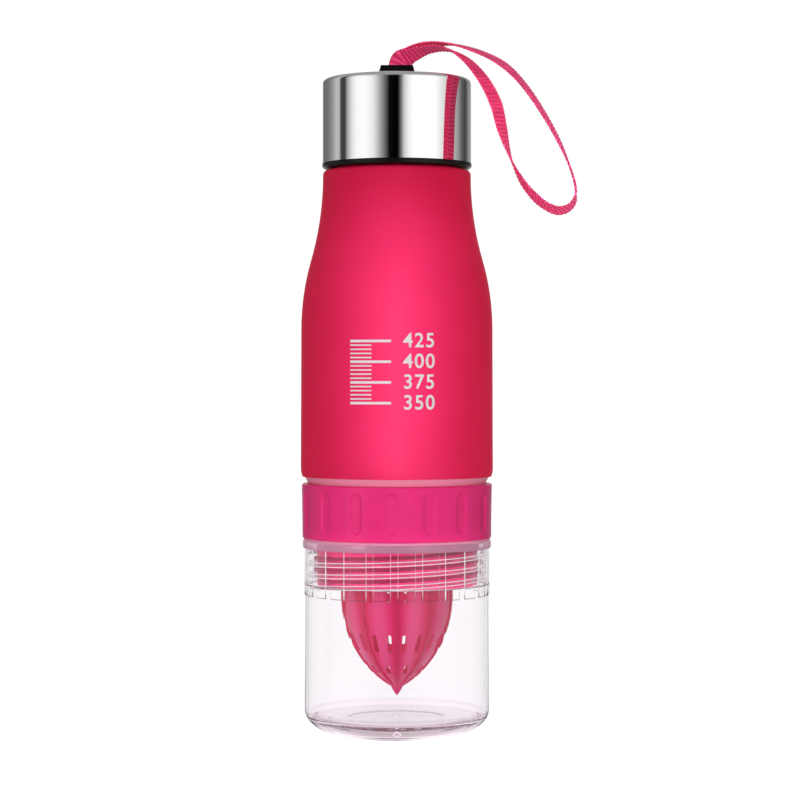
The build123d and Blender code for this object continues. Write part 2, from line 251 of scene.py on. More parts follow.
def clear_plastic(name="clear_plastic", tint=(0.99, 0.975, 0.99, 1)):
    """Clear polished plastic. Its shadow is light, as that of a thin clear wall is."""
    material, finish = new_finish(name)
    waves = finish.grain(9 * mm, detail=0.0)
    glass = finish.shade(
        Base_Color=tint, Roughness=0.0, IOR=1.5, Transmission_Weight=1.0,
        Specular_Tint=(0.6, 0.6, 0.6, 1), Normal=finish.bump(waves, 0.02 * mm),
    )
    through = finish.node("ShaderNodeBsdfTransparent", inputs={"Color": (0.97, 0.95, 0.97, 1)})
    shadow_ray = finish.node("ShaderNodeLightPath", output="Is Shadow Ray")
    finish.finish_with(finish.mix(shadow_ray, glass, through))
    return material


def clear_edge():
    """Painted glints on the edges of the clear threads and panels: a pale layer that glows, and grey without
    glow below the pink skirt.
    """
    material, finish = new_finish("clear_edge")
    grain = finish.grain(1.2 * mm, detail=1.0)
    # From 0 to 1 over the 10 mm above the level of 45 mm
    height = finish.parts(finish.place()).also("Z") * (1 / (10 * mm)) - 4.5
    # Painted glint: pale grey-white colour and a glow above about 52 mm, dark grey and no glow below
    bright = finish.shade(
        Base_Color=finish.ramp(height, [(0.68, paint(120, 116, 118)), (0.76, paint(238, 228, 232))]),
        Roughness=0.25 + 0.1 * grain, IOR=1.5,
        Emission_Color=finish.ramp(height, [(0.68, (0, 0, 0, 1)), (0.76, (0.32, 0.28, 0.30, 1))]),
        Emission_Strength=1.0,
    )
    glass = finish.shade(Base_Color=(1, 1, 1, 1), Roughness=0.05, IOR=1.5, Transmission_Weight=1.0)
    finish.finish_with(finish.mix(0.55 + 0.4 * grain, glass, bright))
    return material


def clear_bead():
    """The clear bead's face: glass mixed with a milky pink-white layer, a painted reflection that looks
    milky over the pink behind it.
    """
    material, finish = new_finish("clear_bead")
    grain = finish.grain(0.5 * mm, detail=1.0)
    # Painted reflection: a pale pink-white matte layer over 55 to 60 percent of the glass
    painted_haze = finish.shade(
        Base_Color=finish.ramp(grain, [(0.3, paint(248, 174, 210)), (0.7, paint(252, 182, 216))]),
        Roughness=0.35,
    )
    glass = finish.shade(Base_Color=(0.99, 0.96, 0.98, 1), Roughness=0.08, IOR=1.5, Transmission_Weight=1.0)
    finish.finish_with(finish.mix(0.55 + 0.05 * grain, glass, painted_haze))
    return material


def pale_silicone():
    """Soft milky silicone, pink from what lies behind it."""
    material, finish = new_finish("pale_silicone")
    grain = finish.grain(0.6 * mm)
    finish.finish_with(finish.shade(
        Base_Color=finish.ramp(grain, [(0.3, paint(244, 146, 176)), (0.7, paint(248, 154, 182))]),
        Roughness=0.34 + 0.1 * grain, IOR=1.42, Subsurface_Weight=0.5,
        Subsurface_Radius=(2 * mm, 1 * mm, 1.2 * mm), Subsurface_Scale=1.0,
        Normal=finish.bump(grain, 0.01 * mm),
    ))
    return material


def mirror_steel():
    """Polished stainless steel, with the faintest turning marks round it."""
    material, finish = new_finish("mirror_steel")
    flat = {0: finish.place(), 1: (1, 1, 60)}
    flattened = finish.node("ShaderNodeVectorMath", {"operation": "MULTIPLY"}, flat)
    turning = finish.grain(6 * mm, detail=4.0, place=flattened)
    finish.finish_with(finish.shade(
        Base_Color=(0.95, 0.945, 0.94, 1), Metallic=1.0, Roughness=0.025 + 0.03 * turning,
        Normal=finish.bump(turning, 0.0006 * mm),
    ))
    return material


def black_plastic():
    """Black moulded plastic with a satin grain."""
    material, finish = new_finish("black_plastic")
    grain = finish.grain(0.3 * mm, detail=3.0)
    finish.finish_with(finish.shade(
        Base_Color=finish.ramp(grain, [(0.3, 0.003), (0.7, 0.006)]), Roughness=0.22 + 0.14 * grain,
        Specular_IOR_Level=0.2, Normal=finish.bump(grain, 0.012 * mm),
    ))
    return material


def white_ink():
    """Screen-printed white ink."""
    material, finish = new_finish("white_ink")
    grain = finish.grain(0.4 * mm, detail=3.0)
    finish.finish_with(finish.shade(
        Base_Color=finish.ramp(grain, [(0.2, paint(244, 240, 243)), (0.6, paint(250, 246, 249))]),
        Roughness=0.5 + 0.1 * grain, Normal=finish.bump(grain, 0.01 * mm),
    ))
    return material


def woven_pink():
    """Ribbed woven tape. The weave runs along the tape's own lengths and widths. Its colour has painted
    shade in the valleys between the ribs and painted highlight on their crests.
    """
    material, finish = new_finish("woven_pink")
    across, along = tape_lengths(finish)
    warp = finish.sum("SINE", across * (2 * pi / tape_yarn)) * 0.5 + 0.5
    valley_painted_shade = (finish.sum("COSINE", along * (2 * pi / rib_pitch)) * 0.5 + 0.5) ** 3
    fibre = finish.grain(0.12 * mm, detail=3.0)
    weave = warp * 0.55 + fibre * 0.45
    # Painted shade and highlight: darker in the rib valleys, lighter on the crests; the yarn stripes and
    # fibre are the tape's own tone
    colour = finish.ramp(
        weave * 0.45 + (1 - valley_painted_shade) * 0.55,
        [(0.15, paint(206, 18, 76)), (0.5, paint(246, 36, 102)), (0.9, paint(255, 84, 146))],
    )
    finish.finish_with(finish.shade(
        Base_Color=colour, Roughness=0.62 + 0.15 * fibre, Sheen_Weight=0.1, Sheen_Roughness=0.4,
        Sheen_Tint=paint(255, 170, 205), Normal=finish.bump(weave, 0.05 * mm),
    ))
    return material


def tape_lengths(finish):
    """The tape's own coordinates in metres: across its width and along its length."""
    parts = finish.parts(finish.node("ShaderNodeUVMap", {"uv_map": "tape"}))
    return parts, parts.also("Y")


# Mesh helpers

def add_piece(name, points, faces, material, body=None, smooth=True):
    """A mesh object in the frame, with outward normals. It rides on body, if one is given."""
    mesh = bpy.data.meshes.new(name)
    mesh.from_pydata(points, [], faces)
    shape = bmesh.new()
    shape.from_mesh(mesh)
    bmesh.ops.recalc_face_normals(shape, faces=shape.faces)
    if shape.calc_volume(signed=True) < 0:  # a thin screw ridge can come out inside out
        bmesh.ops.reverse_faces(shape, faces=shape.faces)
    shape.to_mesh(mesh)
    shape.free()
    mesh.materials.append(material)
    mesh.shade_smooth() if smooth else mesh.shade_flat()
    piece = bpy.data.objects.new(name, mesh)
    bpy.context.scene.collection.objects.link(piece)
    if body:
        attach(piece, body)
    return piece


def bar_faces(rows, row):
    """The faces of a bar, its ends too. Its points are numbered row by row, each row once round it."""
    faces = []
    for start in range(0, (rows - 1) * row, row):
        for j in range(row):
            k = (j + 1) % row
            faces.append((start + j, start + k, start + row + k, start + row + j))
    faces.append(tuple(reversed(range(row))))
    faces.append(tuple(range((rows - 1) * row, rows * row)))
    return faces


def on_axis(radius, turn, level):
    """A point at radius from the axis, turned from +X."""
    return (radius * cos(turn), radius * sin(turn), level)


def soft_step(share):
    """A smooth rise from 0 to 1."""
    share = min(max(share, 0.0), 1.0)
    return share * share * (3 - 2 * share)


def turned(name, profile, turns, material, body, shape, closed=False, sharp=40):
    """A profile of (radius, level) turned round the axis, at these turns. shape gives a point's radius."""
    points, rings = [], []
    for radius, level in profile:
        if radius == 0:
            rings.append([len(points)] * len(turns))
            points.append((0, 0, level))
            continue
        rings.append(list(range(len(points), len(points) + len(turns))))
        for turn in turns:
            points.append(on_axis(shape(radius, turn, level), turn, level))
    faces = []
    for k in range(len(rings) if closed else len(rings) - 1):
        low, high = rings[k], rings[(k + 1) % len(rings)]
        for i in range(len(turns)):
            j = (i + 1) % len(turns)
            faces.append(tuple(dict.fromkeys((low[i], low[j], high[j], high[i]))))
    piece = add_piece(name, points, faces, material, body)
    piece.data.set_sharp_from_angle(angle=radians(sharp))
    return piece


def arc(centre, radii, start, end, steps):
    """Points on a part of an ellipse, by degrees from the radius direction towards +Z."""
    turns = [radians(start + (end - start) * i / steps) for i in range(steps + 1)]
    return [(centre[0] + radii[0] * cos(t), centre[1] + radii[1] * sin(t)) for t in turns]


def levels(radius, low, high, step):
    """Profile points straight up or down a wall, ends left out."""
    count = ceil(abs(high - low) / step)
    return [(radius, low + (high - low) * i / count) for i in range(1, count)]


# Cup: a clear tube on a rounded base, with 24 grip panels and a bead under its rim

panel_count = 24
panel_relief = 0.22 * mm
panel_gap = 2.6 * mm
panel_turn = radians(13.5)
panel_soft = 0.13 * mm
panel_edge_steps = (-1.6, -1.0, -0.5, 0.0, 0.5, 1.0, 1.6)
panel_foot = cup_rim - 19.7 * mm
panel_top = cup_rim - 2.9 * mm
panel_row = 4 * mm
bead_foot = cup_rim - 2.8 * mm
cup_radius = 33.6 * mm
cup_bore = 31.7 * mm
cup_floor = 6.4 * mm
cup_floor_corner = 1.5 * mm
floor_rings = (20 * mm, 8 * mm, 0)
wall_row = 6 * mm
thread_bore_foot = cup_rim - 15.7 * mm
thread_bore_break = 0.2 * mm
bead_radius = 34.35 * mm
bead_corner = 0.5 * mm
foot_radius = 19.6 * mm
foot_hollow_radius = 17.6 * mm
foot_hollow = 0.6 * mm
gate_radius = 1.45 * mm
gate_level = 2.2 * mm
base_curve = (cup_radius - foot_radius, 8.7 * mm)
tinted_radius = 28 * mm
finish_margin = 0.1 * mm
edge_slope = 0.85

# The order of the finishes on the cup
clear_wall, glint_painted_faces, haze_painted_bead, tinted_base = range(4)


def cup_turns():
    """Turns of the cup's columns, closer together at the panels' edges."""
    turns = []
    pitch = 2 * pi / panel_count
    edge = panel_gap / 2 / cup_radius
    soft = panel_soft / cup_radius
    for k in range(panel_count):
        gap = panel_turn + k * pitch
        turns += [gap - edge - soft * step for step in reversed(panel_edge_steps)]
        turns += [gap + edge + soft * step for step in panel_edge_steps]
        turns += [gap + pitch * share for share in (0.3, 0.5, 0.7)]
    return turns


def cup_shape(radius, turn, level):
    """Raises the panels from the cup's outer wall."""
    if radius < cup_radius or level < panel_foot - panel_soft or level > bead_foot:
        return radius
    pitch = 2 * pi / panel_count
    offset = (turn - panel_turn + pitch / 2) % pitch - pitch / 2
    beside = abs(offset) * cup_radius - panel_gap / 2
    rise = soft_step((level - panel_foot) / (2 * panel_soft) + 0.5)
    return radius + panel_relief * soft_step(beside / (2 * panel_soft) + 0.5) * rise


def cup_profile():
    """The cup's outline from the gate mark out, up the wall, over the rim and down to the floor's middle."""
    base_top = base_curve[1]
    profile = [(0, gate_level), (gate_radius, foot_hollow), (foot_hollow_radius, foot_hollow)]
    profile += [(foot_hollow_radius, 0), (foot_radius, 0)]
    profile += arc((foot_radius, base_top), base_curve, -90, 0, 28)[1:]
    profile += levels(cup_radius, base_top, panel_foot - 2 * panel_soft, wall_row)
    profile += [(cup_radius, panel_foot + panel_soft * step) for step in panel_edge_steps]
    profile += levels(cup_radius, panel_foot + 2 * panel_soft, panel_top, panel_row)
    profile += [(cup_radius, panel_top), (cup_radius, bead_foot)]
    inner = bead_radius - bead_corner
    profile += arc((inner, bead_foot + bead_corner), (bead_corner, bead_corner), -90, 0, 5)
    profile += arc((inner, cup_rim - bead_corner), (bead_corner, bead_corner), 0, 90, 5)
    profile.append((cup_thread_bore + thread_bore_break, cup_rim))
    profile.append((cup_thread_bore, cup_rim - thread_bore_break))
    bore_top = thread_bore_foot - (cup_thread_bore - cup_bore)
    profile += [(cup_thread_bore, thread_bore_foot), (cup_bore, bore_top)]
    profile += levels(cup_bore, bore_top, cup_floor + cup_floor_corner, wall_row)
    corner = (cup_bore - cup_floor_corner, cup_floor + cup_floor_corner)
    profile += arc(corner, (cup_floor_corner, cup_floor_corner), 0, -90, 8)
    return profile + [(radius, cup_floor) for radius in floor_rings]


def clear_cup(material, glint_paint_finish, bead_finish, base_finish):
    """The cup, with painted glints on the panels' edges, a painted reflection as a milky layer on the bead,
    and a pink-grey tinted clear finish on the base's outer curve.
    """
    piece = turned("clear_cup", cup_profile(), cup_turns(), material, "cup", cup_shape, sharp=42)
    for finish in (glint_paint_finish, bead_finish, base_finish):
        piece.data.materials.append(finish)
    for face in piece.data.polygons:
        level = face.center.z
        across = Vector((face.center.x, face.center.y, 0))
        out = face.normal.dot(across.normalized())
        if across.length > bead_radius - bead_corner + finish_margin and level > bead_foot:
            face.material_index = haze_painted_bead
        elif across.length > cup_radius - finish_margin and level > panel_foot - panel_soft:
            # Steep panel faces get the painted glints, the rest stays clear
            face.material_index = glint_painted_faces if abs(out) < edge_slope else clear_wall
        elif across.length > tinted_radius and level < base_curve[1] and out > 0:
            face.material_index = tinted_base
    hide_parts("cup")
    return piece


# Collar: soft-edged upright recesses round the grip

grip_radius = 34.65 * mm
grip_foot_radius = 34.4 * mm
grip_foot_round = 0.6 * mm
grip_top_round = 0.8 * mm
grip_wall = 2.0 * mm
grip_roof = 2.2 * mm
grip_row = 0.45 * mm
grip_columns = 480
upper_skirt_height = 13.5 * mm
upper_skirt_wall = 1.8 * mm
lower_skirt_height = 17.2 * mm
skirt_break = 0.6 * mm
seat_radius = 27.5 * mm
ledge_radius = 26.3 * mm
ledge_rise = 2.0 * mm
ledge_height = 1.6 * mm
recess_count = 16
recess_turn = radians(-2.8)
recess_width = 4.2 * mm
recess_height = 14.0 * mm
recess_depth = 0.6 * mm
recess_soft = 1.1 * mm
recess_middle = 81.2 * mm


def grip_shape(radius, turn, level):
    """Presses the recesses into the collar's outer wall."""
    if radius < grip_foot_radius - grip_foot_round / 2:
        return radius
    pitch = 2 * pi / recess_count
    offset = ((turn - recess_turn + pitch / 2) % pitch - pitch / 2) * grip_radius
    reach = (recess_height - recess_width) / 2
    past = max(abs(level - recess_middle) - reach, 0)
    inside = recess_width / 2 + recess_soft / 2 - (offset ** 2 + past ** 2) ** 0.5
    return radius - recess_depth * soft_step(inside / recess_soft)


def grip_collar(material):
    """The collar: its grip ring, the skirt in the body, the reamer's ledge and the skirt in the cup."""
    low, high = collar_foot + grip_foot_round, grip_top - grip_top_round
    rows = ceil((high - low) / grip_row)
    foot_round = (grip_foot_round, grip_foot_round)
    profile = arc((grip_foot_radius - grip_foot_round, low), foot_round, -90, 0, 6)[:-1]
    for i in range(rows + 1):
        radius = grip_foot_radius + (grip_radius - grip_foot_radius) * i / rows
        profile.append((radius, low + (high - low) * i / rows))
    top_round = (grip_top_round, grip_top_round)
    profile += arc((grip_radius - grip_top_round, high), top_round, 0, 90, 8)[1:]
    bore, top = upper_skirt_radius - upper_skirt_wall, grip_top + upper_skirt_height
    profile += [(upper_skirt_radius, grip_top), (upper_skirt_radius, top - skirt_break)]
    profile += [(upper_skirt_radius - skirt_break, top), (bore, top), (bore, grip_top)]
    profile.append((seat_radius, grip_top))
    foot = collar_foot - lower_skirt_height
    ledge = foot + ledge_rise
    profile += [(seat_radius, ledge + ledge_height), (ledge_radius, ledge + ledge_height)]
    profile += [(ledge_radius, ledge), (seat_radius, ledge), (seat_radius, foot)]
    profile += [(lower_skirt_radius - skirt_break, foot), (lower_skirt_radius, foot + skirt_break)]
    hollow, hollow_top = grip_foot_radius - grip_wall, grip_top - grip_roof
    profile += [(lower_skirt_radius, hollow_top), (hollow, hollow_top), (hollow, collar_foot)]
    turns = [2 * pi * i / grip_columns for i in range(grip_columns)]
    piece = turned("grip_collar", profile, turns, material, "collar", grip_shape, closed=True)
    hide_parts("collar")
    return piece


# Threads

ridge_steps_per_turn = 72
ridge_fade = 1 / 9  # of a turn, over which a ridge grows from its end
ridge_start_share = 0.02  # of its full size, at the very end
ridge_sharp = 25
ridge_sink = 0.1 * mm
clear_ridge_sink = -0.03 * mm  # clear ridges stand off the clear wall, so that neither lies in the other
edge_stand = 0.2 * mm
edge_gap = 0.01 * mm


def screw_points(section, lead, starts, front_level, turns, first_turn):
    """Each start of a screw as the points of a section carried along it, one row for each step.

    front_level is where the first start crosses the front, and section gives (radius, rise) for how far a
    ridge has grown from its end, 0 to 1.
    """
    steps = ceil(turns * ridge_steps_per_turn)
    for start in range(starts):
        points = []
        for step in range(steps + 1):
            share = step / steps
            from_end = min(share, 1 - share) * turns / ridge_fade
            grown = sin(min(from_end, 1) * pi / 2) * (1 - ridge_start_share) + ridge_start_share
            turn = first_turn + 2 * pi * (turns * share + start / starts)
            level = front_level + lead * (first_turn / (2 * pi) + 0.25 + turns * share)
            points += [on_axis(radius, turn, level + rise) for radius, rise in section(grown)]
        yield points


def swept(name, body, material, slot, sections, **screw):
    """Bars of given sections that run along a screw."""
    points, faces = [], []
    for section in sections:
        row = len(section(1.0))
        for bar in screw_points(section, **screw):
            faces += [tuple(len(points) + k for k in face) for face in bar_faces(len(bar) // row, row)]
            points += bar
    piece = add_piece(name, points, faces, material, body)
    piece.data.set_sharp_from_angle(angle=radians(ridge_sharp))
    return piece


def thread(name, body, material, slot, wall, height, root, tip, sink=ridge_sink, **screw):
    """Screw ridges of a height on a wall, outwards, or inwards where the height is below 0."""
    sunk = wall - sink if height > 0 else wall + sink

    def section(grown):
        crest = wall + height * grown
        return [(sunk, -root / 2), (crest, -tip / 2), (crest, tip / 2), (sunk, root / 2)]

    return swept(name, body, material, slot, [section], **screw)


def thread_edges(name, body, material, slot, wall, root, width, **screw):
    """Thin strips along both sides of a clear ridge, which carry painted glints."""
    def edge(side):
        def section(grown):
            near, far = wall - edge_gap, wall - edge_stand
            middle = side * (root / 2 + width / 2)
            half = width / 2 * grown
            return [(near, middle - half), (far, middle - half), (far, middle + half), (near, middle + half)]
        return section

    return swept(name, body, material, slot, [edge(-1), edge(1)], **screw)


# Strap

strap_width = 8.0 * mm
strap_thickness = 0.8 * mm
strap_edge = 0.35 * mm
rib_pitch = 1.5 * mm
rib_depth = 0.2 * mm
rib_steps = 6
edge_wave = 0.2
tape_columns = 9
tape_yarn = 0.55 * mm
strap_square = Vector((1.0, 2.0, 0.0)).normalized()
strap_route = [
    (0.0008, 0.0016, 0.2402), (0.0008, 0.0016, 0.2446), (0.0046, -0.0012, 0.2476),
    (0.0110, -0.0049, 0.2501), (0.0190, -0.0089, 0.2500), (0.0280, -0.0134, 0.2470),
    (0.0375, -0.0181, 0.2420), (0.0450, -0.0219, 0.2340), (0.0520, -0.0254, 0.2230),
    (0.0575, -0.0281, 0.2125), (0.0615, -0.0301, 0.2025), (0.0635, -0.0311, 0.1945),
    (0.0615, -0.0301, 0.1895), (0.0560, -0.0274, 0.1880), (0.0495, -0.0241, 0.1925),
    (0.0440, -0.0214, 0.1995), (0.0400, -0.0194, 0.2085), (0.0375, -0.0181, 0.2180),
    (0.0355, -0.0171, 0.2280), (0.0305, -0.0146, 0.2375), (0.0240, -0.0114, 0.2450),
    (0.0170, -0.0081, 0.2486), (0.0100, -0.0049, 0.2482), (0.0048, -0.0026, 0.2462),
    (0.0008, -0.0016, 0.2446), (0.0008, -0.0016, 0.2402),
]
strap_rolls = [
    -63, -63, -20, -8, 1, 7, 7, -1, -6, -11, -21, -25, -2, 25, 33, 30, 17, -4, -12, -10, -3, 8, 12, 26,
    63, 63,
]
line_steps = 24


def strap_line():
    """Points along the strap's smooth line, each with the roll of the tape there."""
    curve = bpy.data.curves.new("strap_line", "CURVE")
    curve.dimensions = "3D"
    curve.resolution_u = line_steps
    spline = curve.splines.new("NURBS")
    spline.points.add(len(strap_route) - 1)
    for point, place in zip(spline.points, strap_route):
        point.co = (*place, 1)
    spline.order_u = 3
    spline.use_endpoint_u = True
    guide = bpy.data.objects.new("strap_line", curve)
    mesh = bpy.data.meshes.new_from_object(guide)
    points = [vertex.co.copy() for vertex in mesh.vertices]
    bpy.data.objects.remove(guide)
    bpy.data.curves.remove(curve)
    bpy.data.meshes.remove(mesh)
    last = len(strap_route) - 1
    rolls = []
    for step in range(len(points)):
        # The line is nearest to each inner point of the route in the middle of one of its spans
        spot = step / (len(points) - 1) * (last - 1)
        spot = min(2 * spot, spot + 0.5) + max(0, spot - (last - 1.5))
        index = min(int(spot), last - 1)
        share = spot - index
        rolls.append(strap_rolls[index] * (1 - share) + strap_rolls[index + 1] * share)
    return points, rolls


def along_line(points, values, gap):
    """Points and values at even gaps along a line."""
    marks = [0.0]
    for before, after in zip(points, points[1:]):
        marks.append(marks[-1] + (after - before).length)
    count = round(marks[-1] / gap)
    made, index = [], 0
    for step in range(count + 1):
        mark = marks[-1] * step / count
        while index < len(marks) - 2 and marks[index + 1] < mark:
            index += 1
        share = (mark - marks[index]) / (marks[index + 1] - marks[index])
        place = points[index].lerp(points[index + 1], share)
        made.append((place, values[index] * (1 - share) + values[index + 1] * share))
    return made, marks[-1]


def tape_section():
    """The tape's outline as (across, side) points. Its two edges are the points with no side."""
    half = strap_width / 2
    thick = strap_thickness / 2 - rib_depth
    inner = half - strap_edge
    top = [(inner - 2 * inner * i / (tape_columns - 1), thick) for i in range(tape_columns)]
    return top + [(-half, 0.0)] + [(-across, -side) for across, side in top] + [(half, 0.0)]


def woven_strap(material):
    """The flat tape, ribbed across, along the strap's line."""
    line, rolls = strap_line()
    stations, length = along_line(line, rolls, rib_pitch / rib_steps)
    section = tape_section()
    points, lengths = [], []
    for i, (place, roll) in enumerate(stations):
        before = stations[max(i - 2, 0)][0]
        after = stations[min(i + 2, len(stations) - 1)][0]
        along = (after - before).normalized()
        inside = along.cross(strap_square).normalized()
        width = (strap_square * cos(radians(roll)) + inside * sin(radians(roll))).normalized()
        width = (width - along * width.dot(along)).normalized()
        face = along.cross(width)
        mark = length * i / (len(stations) - 1)
        rib = rib_depth * (1 - cos(2 * pi * mark / rib_pitch)) / 2
        for across, side in section:
            out = copysign(rib * edge_wave, across) if side == 0 else 0
            lift = copysign(rib, side) if side else 0
            points.append(place + width * (across + out) + face * (side + lift))
            lengths.append((across, mark))
    piece = add_piece("woven_strap", points, bar_faces(len(stations), len(section)), material, "cap")
    layer = piece.data.uv_layers.new(name="tape")
    for loop in piece.data.loops:
        layer.data[loop.index].uv = lengths[loop.vertex_index]
    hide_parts("strap")
    path = [place for place, roll in stations[::4]]
    path.append(stations[-1][0])
    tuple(strap_route[0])
    return piece


# Level scale printed on the body

scale_top = 142.3 * mm
scale_gap = 7.27 * mm
scale_marks = (425, 400, 375, 350)
scale_left = -17.0 * mm
major_length = 15.0 * mm
minor_length = 8.0 * mm
major_stroke = 0.9 * mm
minor_stroke = 0.5 * mm
minors_per_gap = 4
digit_height = 5.0 * mm
digit_share = 0.7  # of the letter size
digit_spread = 0.1 * mm
digit_spacing = 1.12
digit_left = 2.2 * mm
ink_lift = 0.05 * mm
ink_step = 1.2 * mm
ink_weld = 0.01 * mm


def on_body(across, level, lift):
    """A point printed on the body's front, across from the middle and at a level."""
    turn = across / body_radius
    radius = body_radius + lift
    return (radius * sin(turn), -radius * cos(turn), level)


def printed_bar(name, length, level, stroke, material):
    """A short line of ink round the body's front."""
    steps = ceil(length / ink_step)
    low, high = level - stroke / 2, level + stroke / 2
    points = []
    for step in range(steps + 1):
        across = scale_left + length * step / steps
        points += [on_body(across, low, -ink_lift), on_body(across, high, -ink_lift)]
        points += [on_body(across, high, ink_lift), on_body(across, low, ink_lift)]
    bar = add_piece(name, points, bar_faces(steps + 1, 4), material, "bottle", smooth=False)
    return bar


def printed_number(number, level, material):
    """A number set beside its line, bent on to the body."""
    text = bpy.data.curves.new("number", "FONT")
    text.body = str(number)
    text.size = digit_height / digit_share
    text.align_y = "CENTER"
    text.offset = digit_spread
    text.space_character = digit_spacing
    holder = bpy.data.objects.new("number", text)
    flat = bpy.data.meshes.new_from_object(holder)
    shape = bmesh.new()
    shape.from_mesh(flat)
    bmesh.ops.remove_doubles(shape, verts=shape.verts, dist=ink_weld)
    bmesh.ops.triangulate(shape, faces=shape.faces)
    long_edges = [edge for edge in shape.edges if edge.calc_length() > ink_step]
    bmesh.ops.subdivide_edges(shape, edges=long_edges, cuts=3, use_grid_fill=True)
    bmesh.ops.triangulate(shape, faces=shape.faces)
    grown = bmesh.ops.extrude_face_region(shape, geom=list(shape.faces))
    upper = {item for item in grown["geom"] if isinstance(item, bmesh.types.BMVert)}
    for vertex in shape.verts:
        lift = ink_lift if vertex in upper else -ink_lift
        vertex.co = on_body(digit_left + vertex.co.x, level + vertex.co.y, lift)
    bmesh.ops.recalc_face_normals(shape, faces=shape.faces)
    mesh = bpy.data.meshes.new(f"scale_number_{number}")
    shape.to_mesh(mesh)
    shape.free()
    mesh.materials.append(material)
    piece = bpy.data.objects.new(f"scale_number_{number}", mesh)
    bpy.context.scene.collection.objects.link(piece)
    bpy.data.objects.remove(holder)
    bpy.data.curves.remove(text)
    bpy.data.meshes.remove(flat)
    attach(piece, "bottle")
    return piece


def level_scale(material):
    """Lines and numbers for how full the body is, read with the bottle upright."""
    printed = []
    for row, number in enumerate(scale_marks):
        level = scale_top - scale_gap * row
        printed.append(printed_bar(f"scale_line_{number}", major_length, level, major_stroke, material))
        printed.append(printed_number(number, level, material))
        if row + 1 == len(scale_marks):
            break
        for step in range(1, minors_per_gap + 1):
            low = level - scale_gap * step / (minors_per_gap + 1)
            name = f"scale_tick_{number}_{step}"
            printed.append(printed_bar(name, minor_length, low, minor_stroke, material))
    return printed


# Studio: a white room, which the camera and the shiny, clear and matte pieces each see in a light of its own

# How bright it is to the camera, to shiny pieces and to matte ones, inside clear walls and under them
seen_white = 1.05
shiny_light = 1.07
matte_light = 0.46
inner_light = 0.65
under_clear_light = 1.15
white = (1, 1, 1, 1)
wall_grey = (0.8, 0.8, 0.8, 1)
overhead_grey = (0.3, 0.3, 0.3, 1)
under_base = (0.97, 0.92, 0.98, 1)
beyond_base = (0.87, 0.865, 0.872, 1)
inner_pale = (1.22, 1.1, 1.22, 1)

# The bands that shiny pieces mirror, as (degrees from the front towards +X, brightness)
bands_round = [
    (-162, 0.85), (-157, 0.10), (-148, 0.14), (-131, 0.17), (-118, 0.27), (-106, 0.49), (-99, 0.42),
    (-96, 0.06), (-87, 0.04), (-80, 0.44), (-72, 0.75), (-65, 0.92), (-50, 0.98), (-37, 0.80),
    (-31, 0.58), (-25, 0.34), (-18, 0.13), (-12, 0.003), (2, 0.0), (6, 0.12), (12, 0.62), (19, 0.88),
    (26, 1.0), (60, 1.0), (73, 0.76), (107, 0.31), (119, 0.10), (132, 0.05), (151, 0.33), (157, 0.10),
    (162, 0.85),
]


def room_bands(finish, way):
    """The room's bands, by the way that a floor point or a ray lies round the bottle's axis."""
    around = finish.turn(way) * (1 / (2 * pi)) + 0.5
    return finish.ramp(around, [((degrees + 180) / 360, light) for degrees, light in bands_round])


def pale_floor():
    """A floor as white as the room. Clear pieces see it tinted near the base, and shiny ones its bands."""
    material, finish = new_finish("pale_floor")
    rays = finish.node("ShaderNodeLightPath", output="Diffuse Depth")

    def lit(colour, light):
        return finish.node("ShaderNodeEmission", inputs={"Color": colour, "Strength": light})

    to_camera = lit(finish.ramp(finish.grain(0.2), [(0.3, 0.99), (0.7, 1.0)]), seen_white)
    away = finish.node("ShaderNodeVectorMath", {"operation": "LENGTH"}, {0: finish.place()}, output="Value")
    to_clear = lit(finish.ramp(away, [(0.04, under_base), (0.12, beyond_base)]), under_clear_light)
    to_shiny = lit(room_bands(finish, finish.place()), shiny_light)
    seen = finish.mix(rays.also("Is Glossy Ray"), to_camera, to_shiny)
    seen = finish.mix(rays.also("Is Transmission Ray"), seen, to_clear)
    finish.finish_with(finish.mix(rays, seen, lit(white, matte_light)))
    return material


def studio_floor(material):
    """A wide flat floor, a hair below the cup's foot."""
    side = 4.0
    points = [(-side, -side, 0), (side, -side, 0), (side, side, 0), (-side, side, 0)]
    floor = add_piece("studio_floor", points, [(0, 1, 2, 3)], material, smooth=False)
    floor.location.z = -0.02 * mm


def studio_surround():
    """The room round the bottle. Shiny and clear pieces see its bands, and matte ones its mean light."""
    world = bpy.data.worlds.new("studio")
    bpy.context.scene.world = world
    finish = Finish(world)

    def lit(colour, light):
        return finish.node("ShaderNodeBackground", inputs={"Color": colour, "Strength": light})

    way = finish.node("ShaderNodeTexCoord", output="Generated")
    height = finish.parts(way).also("Z")
    slant = finish.sum("ABSOLUTE", height)
    overhead = finish.ramp(height, [(0.3, 0.0), (0.75, 1.0)])
    bands = finish.tint(overhead, room_bands(finish, way), overhead_grey)
    through = finish.ramp(slant, [
        (0.2, (1, 0.99, 1, 1)), (0.45, (0.84, 0.77, 0.82, 1)), (0.95, (0.60, 0.52, 0.57, 1)),
    ])
    inner = finish.tint(finish.ramp(slant, [(0.08, 0.25), (0.3, 1.0)]), bands, inner_pale)
    rays = finish.node("ShaderNodeLightPath", output="Diffuse Depth")
    clear = finish.mix(rays.also("Glossy Depth"), lit(through, 1.0), lit(inner, inner_light))
    seen = finish.mix(rays.also("Is Transmission Ray"), lit(bands, shiny_light), clear)
    seen = finish.mix(rays, seen, lit(wall_grey, matte_light))
    seen = finish.mix(rays.also("Is Camera Ray"), seen, lit(white, seen_white))
    finish.finish_with(seen, "ShaderNodeOutputWorld")


def facing(place, aim):
    """The rotation of a lamp or a camera that looks from place to aim."""
    return (Vector(aim) - Vector(place)).to_track_quat("-Z", "Y").to_euler()


